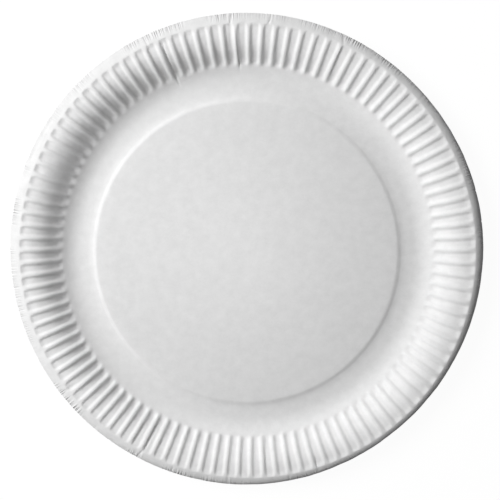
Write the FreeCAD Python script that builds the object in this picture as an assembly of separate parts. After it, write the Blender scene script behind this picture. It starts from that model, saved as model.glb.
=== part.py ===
import FreeCAD, Part
import math
import os
from FreeCAD import Vector

# Paper plate pressed from one round blank of board.
# Millimetres and degrees, +Z up, the plate's axis on Z and the table at Z = 0.
# The round of the plate is made of flat facets, one flute wide, with a flute on the +X axis.

# Overall sizes
PLATE_DIAMETER = 230.0
PLATE_HEIGHT = 14.0
BOARD = 0.4

# Lip: level crest, then a round edge turned down
CREST_WIDTH = 1.2
LIP_RADIUS = 6.0
LIP_TURN = 50.0

# Wall: round shoulder, straight slope and hollow fillet, measured on the food side
SHOULDER_RADIUS = 16.4
WALL_STRAIGHT = 4.3
FILLET_RADIUS = 15.0

# Resting ring, and the step from it up to the raised disc
CHANNEL_WIDTH = 2.0
STEP_HEIGHT = 1.0
STEP_HOLLOW_RADIUS = 15.8
STEP_CROWN_RADIUS = 9.3

# Flutes: troughs pressed into the wall and closed at both ends, with narrow ridges between them
FLUTE_COUNT = 108
FLUTE_DEPTH = 0.9
FLUTE_LENGTH = 16.7
FLUTE_END_RUN = 1.2
FLUTE_TO_LIP = 0.4
FLUTE_FLOOR_SHARE = 0.36
FLUTE_STRIPS = 3

# Largest turn that one facet takes on a round
FACET_TURN = 15.0

# Heights and angles that follow from the sizes above
channel_z = BOARD
disc_z = channel_z + STEP_HEIGHT
crest_z = PLATE_HEIGHT
lip_turn = math.radians(LIP_TURN)
pitch = 2.0 * math.pi / FLUTE_COUNT
step_turn = math.acos(1.0 - STEP_HEIGHT / (STEP_HOLLOW_RADIUS + STEP_CROWN_RADIUS))

# Slope at which fillet, straight and shoulder together climb from the channel to the crest
wall_rise = crest_z - channel_z
wall_radii = FILLET_RADIUS + SHOULDER_RADIUS
wall_reach = math.hypot(wall_radii, WALL_STRAIGHT)
wall_turn = math.atan2(wall_radii, WALL_STRAIGHT) - math.asin((wall_radii - wall_rise) / wall_reach)

# Radii of the section's corners on the food side, from the edge inwards
edge_r = PLATE_DIAMETER / 2.0
crest_out_r = edge_r - LIP_RADIUS * math.sin(lip_turn)
crest_in_r = crest_out_r - CREST_WIDTH
shoulder_r = crest_in_r - SHOULDER_RADIUS * math.sin(wall_turn)
straight_r = shoulder_r - WALL_STRAIGHT * math.cos(wall_turn)
channel_out_r = straight_r - FILLET_RADIUS * math.sin(wall_turn)
channel_in_r = channel_out_r - CHANNEL_WIDTH
step_r = channel_in_r - STEP_HOLLOW_RADIUS * math.sin(step_turn)
disc_r = step_r - STEP_CROWN_RADIUS * math.sin(step_turn)

# Ends of the flutes
flute_out_r = crest_out_r - FLUTE_TO_LIP
flute_in_r = flute_out_r - FLUTE_LENGTH


def wall_station(radius):
    """Radius, height and slope on the food side of the wall, between the channel and the lip."""
    shoulder_z = crest_z - SHOULDER_RADIUS * (1.0 - math.cos(wall_turn))
    if radius >= crest_in_r:
        return radius, crest_z, 0.0
    if radius >= shoulder_r:
        slope = math.asin((crest_in_r - radius) / SHOULDER_RADIUS)
        return radius, crest_z - SHOULDER_RADIUS * (1.0 - math.cos(slope)), slope
    if radius >= straight_r:
        return radius, shoulder_z - (shoulder_r - radius) * math.tan(wall_turn), wall_turn
    if radius >= channel_out_r:
        slope = math.asin((radius - channel_out_r) / FILLET_RADIUS)
        return radius, channel_z + FILLET_RADIUS * (1.0 - math.cos(slope)), slope
    return radius, channel_z, 0.0


def round_stations(centre_r, centre_z, radius, start, end):
    """Stations along a round from one slope to another; the radius is negative where it is a crown."""
    facets = math.ceil(abs(end - start) / math.radians(FACET_TURN) - 1e-9)
    stations = []
    for step in range(facets + 1):
        slope = start + (end - start) * step / facets
        stations.append((centre_r + radius * math.sin(slope), centre_z - radius * math.cos(slope), slope))
    return stations


def inner_stations():
    """Stations from the edge of the disc out to the inner end of the flutes."""
    crown = round_stations(disc_r, disc_z - STEP_CROWN_RADIUS, -STEP_CROWN_RADIUS, 0.0, -step_turn)
    hollow = round_stations(channel_in_r, channel_z + STEP_HOLLOW_RADIUS, STEP_HOLLOW_RADIUS, -step_turn, 0.0)
    fillet_end = wall_station(min(flute_in_r, straight_r))
    fillet = round_stations(channel_out_r, channel_z + FILLET_RADIUS, FILLET_RADIUS, 0.0, fillet_end[2])
    stations = crown + hollow[1:] + fillet
    if flute_in_r > straight_r:
        stations.append(wall_station(min(flute_in_r, shoulder_r)))
    if flute_in_r > shoulder_r:
        end = wall_station(flute_in_r)[2]
        stations += round_stations(crest_in_r, crest_z - SHOULDER_RADIUS, -SHOULDER_RADIUS, wall_turn, end)[1:]
    return stations


def outer_stations():
    """Stations from the outer end of the flutes to the edge."""
    lip = round_stations(crest_out_r, crest_z - LIP_RADIUS, -LIP_RADIUS, 0.0, -lip_turn)
    return [wall_station(flute_out_r)] + lip


def flute_stations():
    """Stations where a flute has its full depth, from its inner end to its outer end."""
    first = flute_in_r + FLUTE_END_RUN
    last = flute_out_r - FLUTE_END_RUN
    return [wall_station(first + (last - first) * step / FLUTE_STRIPS) for step in range(FLUTE_STRIPS + 1)]


def corner(station, below, angle):
    """Point a distance below the food side at a station, square to the slope there."""
    radius, height, slope = station
    out = radius + below * math.sin(slope)
    return Vector(out * math.cos(angle), out * math.sin(angle), height - below * math.cos(slope))


def flat_face(*points):
    """Flat face with straight sides through the points."""
    return Part.Face(Part.makePolygon(list(points) + [points[0]]))


def plain_facets(stations, below):
    """Flat facets between stations, from one flute's middle to the next one's."""
    faces = []
    for inner, outer in zip(stations, stations[1:]):
        corners = [corner(inner, below, 0.0), corner(outer, below, 0.0)]
        corners += [corner(outer, below, pitch), corner(inner, below, pitch)]
        faces.append(flat_face(*corners))
    return faces


def cut_edge_facet(station):
    """Flat facet of the cut edge, between the plate's two sides."""
    corners = [corner(station, 0.0, 0.0), corner(station, BOARD, 0.0)]
    corners += [corner(station, BOARD, pitch), corner(station, 0.0, pitch)]
    return flat_face(*corners)


def flute_corners(station, below):
    """Section of one flute at a station: ridge, floor's two edges and next ridge."""
    floor_half = pitch * FLUTE_FLOOR_SHARE / 2.0
    return [
        corner(station, below, -pitch / 2.0),
        corner(station, below + FLUTE_DEPTH, -floor_half),
        corner(station, below + FLUTE_DEPTH, floor_half),
        corner(station, below, pitch / 2.0),
    ]


def flute_end(end_r, corners, below):
    """Facets that close a flute at one end, and the one from the ridge beside it to the plain wall."""
    station = wall_station(end_r)
    tip = corner(station, below, 0.0)
    faces = [flat_face(tip, start, end) for start, end in zip(corners, corners[1:])]
    faces.append(flat_face(tip, corners[-1], corner(station, below, pitch)))
    return faces


def flute_facets(below):
    """Facets of the flute on the +X axis."""
    rows = [flute_corners(station, below) for station in flute_stations()]
    faces = flute_end(flute_in_r, rows[0], below) + flute_end(flute_out_r, rows[-1], below)
    for inner, outer in zip(rows, rows[1:]):
        for side in range(len(inner) - 1):
            inner_line = Part.makeLine(inner[side], inner[side + 1])
            outer_line = Part.makeLine(outer[side], outer[side + 1])
            faces.append(Part.makeRuledSurface(inner_line, outer_line))
    return faces


def disc_face(below):
    """Flat disc in the middle of the plate."""
    station = (disc_r, disc_z, 0.0)
    return flat_face(*[corner(station, below, number * pitch) for number in range(FLUTE_COUNT)])


def plate():
    """The whole plate as one solid: both sides of the board, and its cut edge."""
    sector = [cut_edge_facet(outer_stations()[-1])]
    faces = []
    for below in (0.0, BOARD):
        sector += plain_facets(inner_stations(), below)
        sector += plain_facets(outer_stations(), below)
        sector += flute_facets(below)
        faces.append(disc_face(below))
    sector = Part.makeCompound(sector)
    for number in range(FLUTE_COUNT):
        turned = sector.rotated(Vector(0, 0, 0), Vector(0, 0, 1), math.degrees(number * pitch))
        faces += turned.Faces
    board = Part.makeCompound(faces)
    board.sewShape()
    solid = Part.makeSolid(board.Shells[0])
    if solid.Volume < 0.0:
        solid.reverse()
    return solid


os.makedirs("parts", exist_ok=True)
plate_solid = plate()
plate_solid.exportStep("parts/plate.step")
box = plate_solid.BoundBox
print("plate: valid", plate_solid.isValid(), "closed", plate_solid.Shells[0].isClosed())
print("box", round(box.XLength, 3), round(box.YLength, 3), round(box.ZLength, 3), "lowest", round(box.ZMin, 4))
print("volume", round(plate_solid.Volume, 1), "faces", len(plate_solid.Faces))
print("wall slope", round(math.degrees(wall_turn), 1), "step slope", round(math.degrees(step_turn), 1))
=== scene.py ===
import functools
import math

import bmesh
import bpy
from mathutils import Matrix, Vector


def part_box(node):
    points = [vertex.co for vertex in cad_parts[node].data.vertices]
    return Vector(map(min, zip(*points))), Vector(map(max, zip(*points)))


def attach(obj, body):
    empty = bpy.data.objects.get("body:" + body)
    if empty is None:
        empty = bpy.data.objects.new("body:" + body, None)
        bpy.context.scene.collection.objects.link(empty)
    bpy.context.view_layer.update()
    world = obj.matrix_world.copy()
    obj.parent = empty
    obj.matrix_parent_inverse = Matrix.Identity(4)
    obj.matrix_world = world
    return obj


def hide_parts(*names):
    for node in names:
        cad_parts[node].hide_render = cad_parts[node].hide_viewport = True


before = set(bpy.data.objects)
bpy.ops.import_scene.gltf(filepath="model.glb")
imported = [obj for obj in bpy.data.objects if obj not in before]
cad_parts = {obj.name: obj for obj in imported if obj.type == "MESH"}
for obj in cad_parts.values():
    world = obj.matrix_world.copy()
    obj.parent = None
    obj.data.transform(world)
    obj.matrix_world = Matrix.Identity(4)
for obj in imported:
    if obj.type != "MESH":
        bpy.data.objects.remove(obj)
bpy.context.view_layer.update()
plate_low, plate_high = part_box("plate")

# Sizes in metres and angles in radians. The plate's axis is Z and the table is at Z = 0.
EDGE_R = (plate_high.x - plate_low.x) / 2.0
CREST_Z = plate_high.z
BOARD = 0.0004

# Section of the food side, from the edge inwards
LIP_RADIUS = 0.026
LIP_TURN = math.radians(20.0)
CREST_ROUND_RADIUS = 0.0045
CREST_ROUND_TURN = math.radians(10.0)
CREST_WIDTH = 0.0006
SHOULDER_RADIUS = 0.0164
WALL_STRAIGHT = 0.0043
FILLET_RADIUS = 0.015
CHANNEL_WIDTH = 0.002
STEP_FOOT_RADIUS = 0.0145
STEP_FOOT_TURN = math.radians(12.5)
STEP_HOLLOW_RADIUS = 0.0052
STEP_TURN = math.radians(28.0)
STEP_CROWN_RADIUS = 0.0042

# Flutes: a wave round the wall, even at first and with steeper flanks and wider troughs further out.
# At their inner end the ridges stand above the plain wall; at the outer end they run level into the lip.
FLUTE_COUNT = 108
FLUTE_IN_R = 0.0923
FLUTE_OUT_R = 0.1102
FLUTE_INNER_DEPTH = 0.00098
FLUTE_OUTER_DEPTH = 0.00079
FLUTE_INNER_END = 0.0018
FLUTE_OUTER_END = 0.0027
FLUTE_RIDGE_RISE = 0.28
FLUTE_INNER_STEEPNESS = 0.8
FLUTE_OUTER_STEEPNESS = 3.0
FLUTE_INNER_WIDENING = 0.3
FLUTE_OUTER_WIDENING = 0.45

# Radius from which the lip is bent
LIP_BEND_IN_R = 0.1101

# Where the lip is bent: the angle in the middle, half the width of the bend, how far the edge comes in,
# how far it goes down, and the power by which the bend grows towards the edge
LIP_BENDS = (
    (math.radians(335.0), math.radians(130.0), -0.0002, 0.0017, 1.6),
    (math.radians(325.0), math.radians(135.0), 0.0001, 0.0011, 7.0),
    (math.radians(318.0), math.radians(62.0), 0.0011, -0.0003, 1.5),
    (math.radians(45.0), math.radians(42.0), 0.0003, 0.0003, 1.5),
    (math.radians(150.0), math.radians(85.0), 0.0001, -0.0007, 1.3),
)

# Creases: their full depth, half their width and the length of their tapered ends
CREASE_DEPTH = 0.0005
CREASE_HALF = 0.00055
CREASE_TAPER = 0.0015

# Each crease: its angle in degrees at the inner and the outer end, the radius of both ends and its share of
# the full depth, which is below zero where the board stands up
CREASES = (
    (41.7, 41.7, 0.1102, 0.115, 0.4),
    (57.1, 56.4, 0.1095, 0.115, 0.4),
    (64.2, 64.4, 0.0955, 0.110, 0.8),
    (64.4, 65.6, 0.1095, 0.115, 0.8),
    (83.6, 83.0, 0.1088, 0.115, 1.0),
    (91.1, 91.3, 0.0905, 0.1075, 0.9),
    (93.1, 93.0, 0.1000, 0.1092, 0.5),
    (93.0, 92.4, 0.1085, 0.115, 1.0),
    (110.8, 110.4, 0.0895, 0.1096, 1.0),
    (114.2, 114.4, 0.0950, 0.1092, 0.6),
    (114.0, 114.0, 0.1090, 0.1135, 0.7),
    (156.9, 156.9, 0.0990, 0.1070, -0.6),
    (167.1, 167.7, 0.0943, 0.1020, -0.5),
    (217.1, 217.0, 0.1054, 0.1135, 0.6),
    (229.0, 229.0, 0.1125, 0.115, 0.8),
    (239.4, 239.3, 0.0990, 0.1092, 0.6),
    (242.6, 242.7, 0.0950, 0.1092, 1.0),
    (242.5, 241.8, 0.1088, 0.115, 1.0),
    (246.1, 246.0, 0.1010, 0.1045, 0.7),
    (251.3, 251.2, 0.1108, 0.115, 1.0),
    (265.6, 265.9, 0.1080, 0.115, 0.6),
    (276.0, 276.0, 0.0975, 0.1078, 0.5),
    (277.4, 277.4, 0.1100, 0.1145, 0.5),
    (281.5, 281.3, 0.1100, 0.1145, 0.6),
    (282.8, 282.7, 0.1020, 0.1082, 0.5),
    (289.5, 288.9, 0.1048, 0.1135, 0.7),
    (290.2, 289.3, 0.1068, 0.1130, 0.5),
)

# Small unevenness of the pressed wall and lip: size of its dents, their finer detail and their depth
UNEVEN_SIZE = 0.0065
UNEVEN_DETAIL = 1
UNEVEN_DEPTH = 0.0003

# Faces of the mesh: rows along a flute and how evenly they are spaced, columns across it and across its
# share of the disc, rings of the disc as shares of its radius, the largest turn of one facet, and the turn
# above which an edge looks sharp
FLUTE_ROWS = 20
FLUTE_ROW_EVENNESS = 0.5
FLUTE_COLUMNS = 12
DISC_COLUMNS = 2
DISC_RINGS = (0.06, 0.2, 0.36, 0.52, 0.68, 0.82, 0.93)
FACET_TURN = math.radians(6.0)
LIP_FACET_TURN = math.radians(1.7)
SHARP_TURN = math.radians(50.0)

# Points nearer to each other than MERGE become one, a point within PICK of a place is the one meant there,
# and a count of facets isn't rounded up for less than ROUNDING
MERGE = 0.000002
PICK = 0.00002
ROUNDING = 1e-9

# Heights, slopes and radii that follow from the sizes
PITCH = 2.0 * math.pi / FLUTE_COUNT
COLUMN = PITCH / FLUTE_COLUMNS
CHANNEL_Z = BOARD
WALL_RISE = CREST_Z - CHANNEL_Z
WALL_RADII = FILLET_RADIUS + SHOULDER_RADIUS
WALL_REACH = math.hypot(WALL_RADII, WALL_STRAIGHT)
WALL_TURN = math.atan2(WALL_RADII, WALL_STRAIGHT) - math.asin((WALL_RADII - WALL_RISE) / WALL_REACH)
LIP_R = EDGE_R - LIP_RADIUS * (math.sin(LIP_TURN) - math.sin(CREST_ROUND_TURN))
CREST_OUT_R = LIP_R - CREST_ROUND_RADIUS * math.sin(CREST_ROUND_TURN)
CREST_IN_R = CREST_OUT_R - CREST_WIDTH
SHOULDER_R = CREST_IN_R - SHOULDER_RADIUS * math.sin(WALL_TURN)
STRAIGHT_R = SHOULDER_R - WALL_STRAIGHT * math.cos(WALL_TURN)
CHANNEL_OUT_R = STRAIGHT_R - FILLET_RADIUS * math.sin(WALL_TURN)
CHANNEL_IN_R = CHANNEL_OUT_R - CHANNEL_WIDTH
STEP_FOOT_R = CHANNEL_IN_R - STEP_FOOT_RADIUS * math.sin(STEP_FOOT_TURN)
STEP_R = STEP_FOOT_R - STEP_HOLLOW_RADIUS * (math.sin(STEP_TURN) - math.sin(STEP_FOOT_TURN))
DISC_R = STEP_R - STEP_CROWN_RADIUS * math.sin(STEP_TURN)
STEP_FOOT_Z = CHANNEL_Z + STEP_FOOT_RADIUS * (1.0 - math.cos(STEP_FOOT_TURN))
STEP_Z = STEP_FOOT_Z + STEP_HOLLOW_RADIUS * (math.cos(STEP_FOOT_TURN) - math.cos(STEP_TURN))
DISC_Z = STEP_Z + STEP_CROWN_RADIUS * (1.0 - math.cos(STEP_TURN))
FLUTE_LENGTH = FLUTE_OUT_R - FLUTE_IN_R

# Board: its colour on the wall, the painted shade that darkens the disc and the lip's edge against that, and
# its finish
BOARD_COLOUR = (0.91, 0.91, 0.91)
DISC_PAINTED_SHADE = 0.915
RIM_PAINTED_SHADE = 0.95
CLOUDING = 0.32
ROUGHNESS = 0.82
ROUGHNESS_SPREAD = 0.3
BOARD_SPECULAR = 0.3
RELIEF = 0.00003

# Clouds and fibres of the board, with scales in waves per metre
CLOUD_SCALE = 260.0
CLOUD_DETAIL = 4.0
FIBRE_SCALE = 2200.0
FIBRE_DETAIL = 3.0
FIBRE_DISTORTION = 1.2
FIBRE_SHARE = 0.5
NOISE_MIDDLE = 0.5

# Fine pleats of the lip, pressed in patches: their height against the fibres, both patterns as they run
# round the plate, and the range of the patch pattern over which the pleats fade in
PLEAT_HEIGHT = 48.0
PLEAT_SCALE = 150.0
PLEAT_DETAIL = 2.0
PATCH_SCALE = 7.0
PATCH_DETAIL = 1.0
PATCH_LOW = 0.4
PATCH_HIGH = 0.62

# Camera, the lamp, the weak pool of light on the disc, and the sky
CAMERA_EYE = Vector((0.0219, 0.0322, 0.3426))
CAMERA_AIM = Vector((0.0025, 0.0021, 0.0))
CAMERA_LENS = 49.42
CAMERA_SENSOR = 36.0
LAMP_AZIMUTH = math.radians(154.0)
LAMP_ELEVATION = math.radians(43.0)
LAMP_DISTANCE = 0.72
LAMP_SIZE = 0.4
LAMP_POWER = 5.08
POOL_HEIGHT = 0.9
POOL_ANGLE = math.radians(10.0)
POOL_POWER = 3.8
POOL_SOFTNESS = 0.05
SKY_LEVEL = 0.115

# Floor: its size and the gap below the table's height, its grey for bounced light and its pale tone where
# it is seen, its finish, and the share and strength of the plain white laid over it
FLOOR_SIZE = 6.0
FLOOR_GAP = 0.0001
FLOOR_GREY = 0.03
FLOOR_PALE = 0.9
FLOOR_ROUGHNESS = 0.9
FLOOR_SPECULAR = 0.2
FLOOR_WHITE = 0.92
FLOOR_GLOW = 1.04


def deselect_all():
    """Nothing stays selected outside edit mode."""
    bpy.ops.object.select_all(action="DESELECT")


def start_mesh(name):
    """A new piece with one point at the origin, in edit mode and ready to be extruded."""
    deselect_all()
    bpy.ops.mesh.primitive_plane_add(size=BOARD, location=(0.0, 0.0, 0.0))
    piece = bpy.context.object
    piece.name = name
    piece.data.name = name
    bpy.ops.object.mode_set(mode="EDIT")
    bpy.ops.mesh.select_mode(type="VERT")
    bpy.ops.mesh.select_all(action="SELECT")
    bpy.ops.mesh.merge(type="CENTER")
    return piece


def select_points(piece, chosen):
    """In edit mode, selects just the points for which chosen(place) is true."""
    bpy.ops.mesh.select_all(action="DESELECT")
    mesh = bmesh.from_edit_mesh(piece.data)
    for point in mesh.verts:
        if chosen(point.co):
            point.select = True
    mesh.select_flush(True)
    bmesh.update_edit_mesh(piece.data, loop_triangles=False, destructive=False)


def move(offset):
    """Moves what is selected."""
    bpy.ops.transform.translate(value=offset)


def wall_station(radius):
    """Radius, height and slope of the food side of the wall and the crest."""
    if radius >= CREST_OUT_R:
        slope = -math.asin((radius - CREST_OUT_R) / CREST_ROUND_RADIUS)
        return radius, CREST_Z - CREST_ROUND_RADIUS * (1.0 - math.cos(slope)), slope
    if radius >= CREST_IN_R:
        return radius, CREST_Z, 0.0
    if radius >= SHOULDER_R:
        slope = math.asin((CREST_IN_R - radius) / SHOULDER_RADIUS)
        return radius, CREST_Z - SHOULDER_RADIUS * (1.0 - math.cos(slope)), slope
    if radius >= STRAIGHT_R:
        shoulder_z = CREST_Z - SHOULDER_RADIUS * (1.0 - math.cos(WALL_TURN))
        return radius, shoulder_z - (SHOULDER_R - radius) * math.tan(WALL_TURN), WALL_TURN
    slope = math.asin((radius - CHANNEL_OUT_R) / FILLET_RADIUS)
    return radius, CHANNEL_Z + FILLET_RADIUS * (1.0 - math.cos(slope)), slope


def round_stations(centre_r, centre_z, radius, start, end, facet_turn=FACET_TURN):
    """Stations along a round from one slope to another; the radius is negative on a crown."""
    facets = math.ceil(abs(end - start) / facet_turn - ROUNDING)
    stations = []
    for step in range(facets + 1):
        slope = start + (end - start) * step / facets
        stations.append((centre_r + radius * math.sin(slope), centre_z - radius * math.cos(slope), slope))
    return stations


def disc_stations():
    """Stations from near the middle of the disc to the inner side of the resting ring."""
    rings = [(DISC_R * share, DISC_Z, 0.0) for share in DISC_RINGS]
    crown = round_stations(DISC_R, DISC_Z - STEP_CROWN_RADIUS, -STEP_CROWN_RADIUS, 0.0, -STEP_TURN)
    hollow_r = STEP_R + STEP_HOLLOW_RADIUS * math.sin(STEP_TURN)
    hollow_z = STEP_Z + STEP_HOLLOW_RADIUS * math.cos(STEP_TURN)
    hollow = round_stations(hollow_r, hollow_z, STEP_HOLLOW_RADIUS, -STEP_TURN, -STEP_FOOT_TURN)
    foot_z = CHANNEL_Z + STEP_FOOT_RADIUS
    foot = round_stations(CHANNEL_IN_R, foot_z, STEP_FOOT_RADIUS, -STEP_FOOT_TURN, 0.0)
    return rings + crown + hollow[1:] + foot[1:]


def flute_radii():
    """Radii of the rows of points along a flute, closer together towards its two ends."""
    radii = []
    for row in range(FLUTE_ROWS + 1):
        share = row / FLUTE_ROWS
        eased = (1.0 - math.cos(math.pi * share)) / 2.0
        along = FLUTE_ROW_EVENNESS * share + (1.0 - FLUTE_ROW_EVENNESS) * eased
        radii.append(FLUTE_IN_R + FLUTE_LENGTH * along)
    return radii


def wall_stations():
    """Stations from the outer side of the resting ring to the cut edge."""
    fillet_end = wall_station(FLUTE_IN_R)
    fillet_z = CHANNEL_Z + FILLET_RADIUS
    fillet = round_stations(CHANNEL_OUT_R, fillet_z, FILLET_RADIUS, 0.0, fillet_end[2])
    fluted = [wall_station(radius) for radius in flute_radii()]
    crest = [wall_station(LIP_R)]
    lip_r = LIP_R - LIP_RADIUS * math.sin(CREST_ROUND_TURN)
    lip_z = crest[0][1] - LIP_RADIUS * math.cos(CREST_ROUND_TURN)
    lip = round_stations(lip_r, lip_z, -LIP_RADIUS, -CREST_ROUND_TURN, -LIP_TURN, LIP_FACET_TURN)
    return fillet + fluted[1:] + crest + lip[1:]


def draw_section(stations):
    """Extrudes the selected point from station to station, half a flute before the +X axis."""
    here = Vector((0.0, 0.0, 0.0))
    for number, (radius, height, _) in enumerate(stations):
        there = Matrix.Rotation(-PITCH / 2.0, 3, "Z") @ Vector((radius, 0.0, height))
        if number == 0:
            move(there - here)
        else:
            bpy.ops.mesh.extrude_vertices_move(TRANSFORM_OT_translate={"value": there - here})
        here = there


def spin_section(columns):
    """Turns the section through one flute's pitch, into a strip of faces."""
    bpy.ops.mesh.select_all(action="SELECT")
    bpy.ops.mesh.spin(steps=columns, angle=PITCH, center=(0.0, 0.0, 0.0), axis=(0.0, 0.0, -1.0))
    bpy.ops.mesh.select_all(action="SELECT")
    bpy.ops.mesh.remove_doubles(threshold=MERGE)


def flute_wave(along, turn):
    """Share of the full depth across a flute: one in the trough's middle, zero on the ridge."""
    steepness = FLUTE_INNER_STEEPNESS + (FLUTE_OUTER_STEEPNESS - FLUTE_INNER_STEEPNESS) * along
    widening = FLUTE_INNER_WIDENING + (FLUTE_OUTER_WIDENING - FLUTE_INNER_WIDENING) * along
    here, trough, ridge = [
        math.tanh(steepness * (wave + widening)) for wave in (math.cos(FLUTE_COUNT * turn), 1.0, -1.0)
    ]
    return (here - ridge) / (trough - ridge)


def flute_depth(radius, turn):
    """Depth of a flute below the plain wall, at a radius and an angle from the trough's middle."""
    along = (radius - FLUTE_IN_R) / FLUTE_LENGTH
    inner = max(0.0, 1.0 - (radius - FLUTE_IN_R) / FLUTE_INNER_END)
    outer = max(0.0, 1.0 - (FLUTE_OUT_R - radius) / FLUTE_OUTER_END)
    deepest = FLUTE_INNER_DEPTH + (FLUTE_OUTER_DEPTH - FLUTE_INNER_DEPTH) * along
    pressed = max(0.0, flute_wave(along, turn) - outer ** 2)
    return deepest * (1.0 - inner ** 2) * (pressed - FLUTE_RIDGE_RISE * (1.0 - along))


def press_flute(piece):
    """Presses the flute into the strip of wall, point by point and square to the wall."""
    for radius in flute_radii():
        station = wall_station(radius)
        for column in range(FLUTE_COLUMNS + 1):
            turn = -PITCH / 2.0 + column * COLUMN
            depth = flute_depth(radius, turn)
            if abs(depth) < MERGE:
                continue
            turning = Matrix.Rotation(turn, 3, "Z")
            place = turning @ Vector((radius, 0.0, station[1]))
            inwards = turning @ Vector((math.sin(station[2]), 0.0, -math.cos(station[2])))
            select_points(piece, lambda co: (co - place).length < PICK)
            move(inwards * depth)


def sector():
    """One flute's share of the plate's food side, from near the middle to the cut edge."""
    wall = start_mesh("plate_board")
    draw_section(wall_stations())
    spin_section(FLUTE_COLUMNS)
    press_flute(wall)
    bpy.ops.object.mode_set(mode="OBJECT")
    disc = start_mesh("plate_disc")
    draw_section(disc_stations())
    spin_section(DISC_COLUMNS)
    bpy.ops.object.mode_set(mode="OBJECT")
    deselect_all()
    disc.select_set(True)
    wall.select_set(True)
    bpy.context.view_layer.objects.active = wall
    bpy.ops.object.join()
    bpy.ops.object.mode_set(mode="EDIT")
    low_r = CHANNEL_IN_R - MERGE
    high_r = CHANNEL_OUT_R + MERGE
    select_points(wall, lambda co: low_r < math.hypot(co.x, co.y) < high_r)
    bpy.ops.mesh.select_mode(type="EDGE")
    bpy.ops.mesh.bridge_edge_loops()
    bpy.ops.mesh.select_mode(type="VERT")
    return wall


def turn_sector(piece):
    """Copies the sector round the plate and closes the middle of the disc."""
    bpy.ops.mesh.select_all(action="SELECT")
    bpy.ops.mesh.spin(steps=FLUTE_COUNT - 1, angle=2.0 * math.pi - PITCH, dupli=True,
                      center=(0.0, 0.0, 0.0), axis=(0.0, 0.0, -1.0))
    bpy.ops.mesh.select_all(action="SELECT")
    bpy.ops.mesh.remove_doubles(threshold=MERGE)
    first_r = DISC_R * DISC_RINGS[0] + MERGE
    select_points(piece, lambda co: math.hypot(co.x, co.y) < first_r)
    bpy.ops.mesh.extrude_edges_move()
    bpy.ops.mesh.merge(type="CENTER")
    bpy.ops.mesh.select_all(action="SELECT")
    bpy.ops.mesh.normals_make_consistent(inside=False)


def weigh_points(piece, name, share):
    """A vertex group that holds share(radius, angle) of each point of the piece."""
    group = piece.vertex_groups.new(name=name)
    for point in piece.data.vertices:
        weight = share(math.hypot(point.co.x, point.co.y), math.atan2(point.co.y, point.co.x))
        if weight > 0.0:
            group.add([point.index], min(1.0, weight), "REPLACE")


def displace(piece, name, direction, strength, texture=None):
    """Moves the points of a vertex group along an axis or their normals, and applies it."""
    modifier = piece.modifiers.new(name, "DISPLACE")
    modifier.vertex_group = name
    modifier.direction = direction
    modifier.strength = strength
    modifier.mid_level = 0.0
    modifier.texture = texture
    deselect_all()
    piece.select_set(True)
    bpy.context.view_layer.objects.active = piece
    bpy.ops.object.modifier_apply(modifier=modifier.name)


def turn_between(first, second):
    """The angle from one direction to another, between minus and plus half a turn."""
    return (first - second + math.pi) % (2.0 * math.pi) - math.pi


def lip_bend_share(middle, half_width, power, radius, angle):
    """How much of a bend of the lip a point takes, from nothing to all of it."""
    across = abs(turn_between(angle, middle)) / half_width
    out = (radius - LIP_BEND_IN_R) / (EDGE_R - LIP_BEND_IN_R)
    if across >= 1.0 or out <= 0.0:
        return 0.0
    return math.cos(across * math.pi / 2.0) ** 2 * out ** power


def bend_lip(piece):
    """Bends the lip down and in on one side of the plate, and up on the other side."""
    for number, (middle, half_width, inwards, down, power) in enumerate(LIP_BENDS):
        offsets = {"X": -inwards * math.cos(middle), "Y": -inwards * math.sin(middle), "Z": -down}
        for axis, offset in offsets.items():
            name = f"lip_bend_{number}_{axis}"
            weigh_points(piece, name, functools.partial(lip_bend_share, middle, half_width, power))
            displace(piece, name, axis, offset)


def crease_share(radius, angle, sign):
    """How deep the creases of one sign are at a point, as a share of the full depth."""
    deepest = 0.0
    for inner_angle, outer_angle, inner_r, outer_r, depth in CREASES:
        if depth * sign <= 0.0 or not inner_r < radius <= outer_r + MERGE:
            continue
        along = (radius - inner_r) / (outer_r - inner_r)
        middle = math.radians(inner_angle + (outer_angle - inner_angle) * along)
        across = abs(turn_between(angle, middle)) * radius / CREASE_HALF
        taper = min(1.0, (radius - inner_r) / CREASE_TAPER)
        if outer_r < EDGE_R:
            taper = min(taper, (outer_r - radius) / CREASE_TAPER)
        deepest = max(deepest, abs(depth) * taper * (1.0 - across))
    return deepest


def press_creases(piece):
    """Presses the creases into the wall and lip; those with a negative share stand up instead."""
    weigh_points(piece, "creases", lambda radius, angle: crease_share(radius, angle, 1.0))
    displace(piece, "creases", "NORMAL", -CREASE_DEPTH)
    weigh_points(piece, "folds", lambda radius, angle: crease_share(radius, angle, -1.0))
    displace(piece, "folds", "NORMAL", CREASE_DEPTH)


def make_uneven(piece):
    """Sinks the wall and lip by a little here and there, so that no two flutes are quite alike."""
    clouds = bpy.data.textures.new("uneven", "CLOUDS")
    clouds.noise_scale = UNEVEN_SIZE
    clouds.noise_depth = UNEVEN_DETAIL
    weigh_points(piece, "uneven", lambda radius, angle: 1.0 if radius > FLUTE_IN_R + FLUTE_INNER_END else 0.0)
    displace(piece, "uneven", "NORMAL", -UNEVEN_DEPTH, clouds)


def board_thickness(piece):
    """Gives the board its thickness below the food side."""
    solidify = piece.modifiers.new("board", "SOLIDIFY")
    solidify.thickness = BOARD
    solidify.offset = -1.0
    solidify.use_even_offset = True
    deselect_all()
    piece.select_set(True)
    bpy.context.view_layer.objects.active = piece
    bpy.ops.object.modifier_apply(modifier=solidify.name)
    bpy.ops.object.shade_smooth_by_angle(angle=SHARP_TURN)


def feed(tree, entry, value):
    """Sets a node's input to a plain value, or links it to another node's output."""
    if isinstance(value, bpy.types.NodeSocket):
        tree.links.new(value, entry)
    else:
        entry.default_value = value


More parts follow.
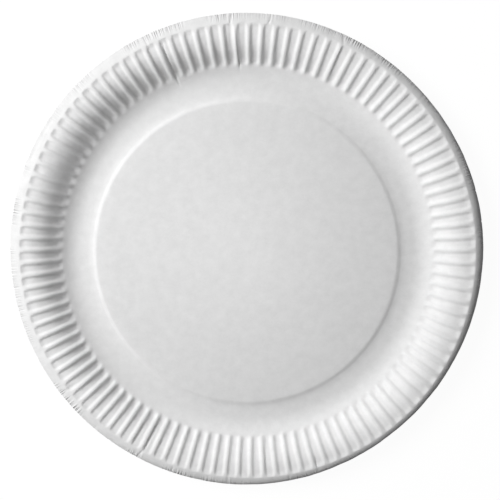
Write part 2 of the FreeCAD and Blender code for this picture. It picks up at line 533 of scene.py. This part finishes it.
def maths(tree, operation, *values):
    """The result of one step of arithmetic."""
    node = tree.nodes.new("ShaderNodeMath")
    node.operation = operation
    for entry, value in zip(node.inputs, values):
        feed(tree, entry, value)
    return node.outputs["Value"]


def vector_maths(tree, operation, *values, result="Vector"):
    """The result of one step of arithmetic on a direction, a place or a colour."""
    node = tree.nodes.new("ShaderNodeVectorMath")
    node.operation = operation
    for entry, value in zip(node.inputs, values):
        feed(tree, entry, value)
    return node.outputs[result]


def noise(tree, place, scale, detail, distortion=0.0):
    """A cloudy pattern."""
    node = tree.nodes.new("ShaderNodeTexNoise")
    for name, value in (("Vector", place), ("Scale", scale), ("Detail", detail), ("Distortion", distortion)):
        feed(tree, node.inputs[name], value)
    return node.outputs["Fac"]


def ramp(tree, value, low, high, at_low=0.0, at_high=1.0, kind="LINEAR"):
    """Goes from one result to another while a value goes from low to high."""
    node = tree.nodes.new("ShaderNodeMapRange")
    node.interpolation_type = kind
    ends = (("From Min", low), ("From Max", high), ("To Min", at_low), ("To Max", at_high))
    for name, end in ends:
        feed(tree, node.inputs[name], end)
    feed(tree, node.inputs["Value"], value)
    return node.outputs["Result"]


def lip_pleats(tree, flat_place, radius):
    """Height of the lip's fine pleats, which run outwards and come in patches."""
    way = vector_maths(tree, "NORMALIZE", flat_place)
    pleats = noise(tree, way, PLEAT_SCALE, PLEAT_DETAIL)
    patches = noise(tree, way, PATCH_SCALE, PATCH_DETAIL)
    patch = ramp(tree, patches, PATCH_LOW, PATCH_HIGH)
    on_lip = ramp(tree, radius, FLUTE_OUT_R, EDGE_R, kind="SMOOTHSTEP")
    up_and_down = maths(tree, "SUBTRACT", pleats, NOISE_MIDDLE)
    return maths(tree, "MULTIPLY", up_and_down, maths(tree, "MULTIPLY", patch, on_lip))


def fibre_and_painted_shade_group():
    """Node group: the clouded colour of uncoated board with painted shade on the disc and towards the lip's
    edge, its roughness and its relief.
    """
    tree = bpy.data.node_groups.new("board_fibre_and_painted_shade", "ShaderNodeTree")
    for side, names in (
        ("INPUT", ("Color", "Clouding", "Roughness", "Pleats")),
        ("OUTPUT", ("Color", "Roughness", "Height")),
    ):
        for name in names:
            kind = "NodeSocketColor" if name == "Color" else "NodeSocketFloat"
            tree.interface.new_socket(name=name, in_out=side, socket_type=kind)
    enter = tree.nodes.new("NodeGroupInput")
    leave = tree.nodes.new("NodeGroupOutput")
    place = tree.nodes.new("ShaderNodeTexCoord").outputs["Object"]

    flat_place = vector_maths(tree, "MULTIPLY", place, (1.0, 1.0, 0.0))
    radius = vector_maths(tree, "LENGTH", flat_place, result="Value")
    # Painted shade: the disc and the resting ring come out darker than the wall
    disc_painted_shade = ramp(tree, radius, CHANNEL_OUT_R, FLUTE_IN_R, DISC_PAINTED_SHADE, 1.0, "SMOOTHSTEP")
    # Painted shade: the lip comes out darker towards its cut edge
    rim_painted_shade = ramp(tree, radius, LIP_R, EDGE_R, 1.0, RIM_PAINTED_SHADE)
    painted_shades = maths(tree, "MULTIPLY", disc_painted_shade, rim_painted_shade)

    cloud = noise(tree, place, CLOUD_SCALE, CLOUD_DETAIL)
    fibre = noise(tree, place, FIBRE_SCALE, FIBRE_DETAIL, FIBRE_DISTORTION)
    cloud_part = maths(tree, "MULTIPLY", cloud, 1.0 - FIBRE_SHARE)
    both = maths(tree, "MULTIPLY_ADD", fibre, FIBRE_SHARE, cloud_part)
    centred = maths(tree, "SUBTRACT", both, NOISE_MIDDLE)

    shade = maths(tree, "MULTIPLY_ADD", centred, enter.outputs["Clouding"], 1.0)
    tint = tree.nodes.new("ShaderNodeVectorMath")
    tint.operation = "SCALE"
    feed(tree, tint.inputs[0], enter.outputs["Color"])
    feed(tree, tint.inputs["Scale"], maths(tree, "MULTIPLY", shade, painted_shades))
    feed(tree, leave.inputs["Color"], tint.outputs["Vector"])

    rough = maths(tree, "MULTIPLY_ADD", centred, ROUGHNESS_SPREAD, enter.outputs["Roughness"])
    feed(tree, leave.inputs["Roughness"], rough)
    pleated = maths(tree, "MULTIPLY", lip_pleats(tree, flat_place, radius), enter.outputs["Pleats"])
    feed(tree, leave.inputs["Height"], maths(tree, "ADD", both, pleated))
    return tree


def board_material():
    """The matt white finish of the board."""
    material = bpy.data.materials.new("white_board")
    material.use_nodes = True
    tree = material.node_tree
    fibre = tree.nodes.new("ShaderNodeGroup")
    fibre.node_tree = fibre_and_painted_shade_group()
    for name, value in (
        ("Color", (*BOARD_COLOUR, 1.0)),
        ("Clouding", CLOUDING),
        ("Roughness", ROUGHNESS),
        ("Pleats", PLEAT_HEIGHT),
    ):
        feed(tree, fibre.inputs[name], value)
    bump = tree.nodes.new("ShaderNodeBump")
    feed(tree, bump.inputs["Strength"], 1.0)
    feed(tree, bump.inputs["Distance"], RELIEF)
    feed(tree, bump.inputs["Height"], fibre.outputs["Height"])
    shader = tree.nodes["Principled BSDF"]
    for name, value in (
        ("Specular IOR Level", BOARD_SPECULAR),
        ("Base Color", fibre.outputs["Color"]),
        ("Roughness", fibre.outputs["Roughness"]),
        ("Normal", bump.outputs["Normal"]),
    ):
        feed(tree, shader.inputs[name], value)
    return material


def seen_directly(tree):
    """One where the camera sees a surface, by itself or in gloss or glass, and zero for bounced light."""
    path = tree.nodes.new("ShaderNodeLightPath")
    seen = path.outputs["Is Camera Ray"]
    for ray in ("Is Glossy Ray", "Is Transmission Ray"):
        seen = maths(tree, "MAXIMUM", seen, path.outputs[ray])
    return seen


def white_over(tree, surface, strength, share):
    """Mixes plain white over a surface where it is seen directly."""
    white = tree.nodes.new("ShaderNodeEmission")
    feed(tree, white.inputs["Color"], (1.0, 1.0, 1.0, 1.0))
    feed(tree, white.inputs["Strength"], strength)
    mixed = tree.nodes.new("ShaderNodeMixShader")
    feed(tree, mixed.inputs["Fac"], maths(tree, "MULTIPLY", seen_directly(tree), share))
    feed(tree, mixed.inputs[1], surface)
    feed(tree, mixed.inputs[2], white.outputs["Emission"])
    return mixed.outputs["Shader"]


def make_floor():
    """The floor: dull grey for bounced light, white where it is seen, with the plate's faint shadow."""
    deselect_all()
    bpy.ops.mesh.primitive_plane_add(size=FLOOR_SIZE, location=(0.0, 0.0, -FLOOR_GAP))
    floor = bpy.context.object
    floor.name = "floor"
    material = bpy.data.materials.new("floor_white")
    material.use_nodes = True
    tree = material.node_tree
    shade = tree.nodes.new("ShaderNodeMix")
    shade.data_type = "RGBA"
    shade.inputs["A"].default_value = (FLOOR_GREY, FLOOR_GREY, FLOOR_GREY, 1.0)
    shade.inputs["B"].default_value = (FLOOR_PALE, FLOOR_PALE, FLOOR_PALE, 1.0)
    tree.links.new(seen_directly(tree), shade.inputs["Factor"])
    dull = tree.nodes["Principled BSDF"]
    dull.inputs["Roughness"].default_value = FLOOR_ROUGHNESS
    dull.inputs["Specular IOR Level"].default_value = FLOOR_SPECULAR
    tree.links.new(shade.outputs["Result"], dull.inputs["Base Color"])
    surface = white_over(tree, dull.outputs["BSDF"], FLOOR_GLOW, FLOOR_WHITE)
    tree.links.new(surface, tree.nodes["Material Output"].inputs["Surface"])
    floor.data.materials.append(material)


def make_world():
    """Even grey light from all round, white where it is seen directly."""
    world = bpy.data.worlds.new("studio")
    world.use_nodes = True
    bpy.context.scene.world = world
    tree = world.node_tree
    sky = tree.nodes["Background"]
    sky.inputs["Color"].default_value = (1.0, 1.0, 1.0, 1.0)
    sky.inputs["Strength"].default_value = SKY_LEVEL
    surface = white_over(tree, sky.outputs[0], 1.0, 1.0)
    tree.links.new(surface, tree.nodes["World Output"].inputs["Surface"])


def make_lamp():
    """One soft lamp near the plate, to the left and a little above it in the picture."""
    flat = LAMP_DISTANCE * math.cos(LAMP_ELEVATION)
    height = LAMP_DISTANCE * math.sin(LAMP_ELEVATION)
    place = Vector((flat * math.cos(LAMP_AZIMUTH), flat * math.sin(LAMP_AZIMUTH), height))
    light = bpy.data.lights.new("window", "AREA")
    light.shape = "DISK"
    light.size = LAMP_SIZE
    light.energy = LAMP_POWER
    lamp = bpy.data.objects.new("window", light)
    bpy.context.collection.objects.link(lamp)
    lamp.location = place
    lamp.rotation_mode = "QUATERNION"
    lamp.rotation_quaternion = (-place).to_track_quat("-Z", "Y")


def make_pool():
    """A weak soft light from straight above, on the disc and little else."""
    light = bpy.data.lights.new("pool", "SPOT")
    light.energy = POOL_POWER
    light.spot_size = POOL_ANGLE
    light.spot_blend = 1.0
    light.shadow_soft_size = POOL_SOFTNESS
    lamp = bpy.data.objects.new("pool", light)
    bpy.context.collection.objects.link(lamp)
    lamp.location = (0.0, 0.0, POOL_HEIGHT)


def make_camera():
    """Camera nearly above the plate, with the picture's upright along Y."""
    back = (CAMERA_EYE - CAMERA_AIM).normalized()
    up = back.cross(Vector((1.0, 0.0, 0.0))).normalized()
    right = up.cross(back)
    camera = bpy.data.objects.new("camera", bpy.data.cameras.new("camera"))
    bpy.context.collection.objects.link(camera)
    camera.data.lens = CAMERA_LENS
    camera.data.sensor_width = CAMERA_SENSOR
    camera.matrix_world = Matrix.Translation(CAMERA_EYE) @ Matrix((right, up, back)).transposed().to_4x4()
    bpy.context.scene.camera = camera


plate = sector()
turn_sector(plate)
bpy.ops.object.mode_set(mode="OBJECT")
bend_lip(plate)
press_creases(plate)
make_uneven(plate)
plate.vertex_groups.clear()
board_thickness(plate)
plate.data.materials.append(board_material())
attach(plate, "root")
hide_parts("plate")
make_floor()
make_world()
make_lamp()
make_pool()
make_camera()
bpy.context.scene.view_settings.view_transform = "Standard"

plate.data.calc_loop_triangles()
print("plate triangles", len(plate.data.loop_triangles))
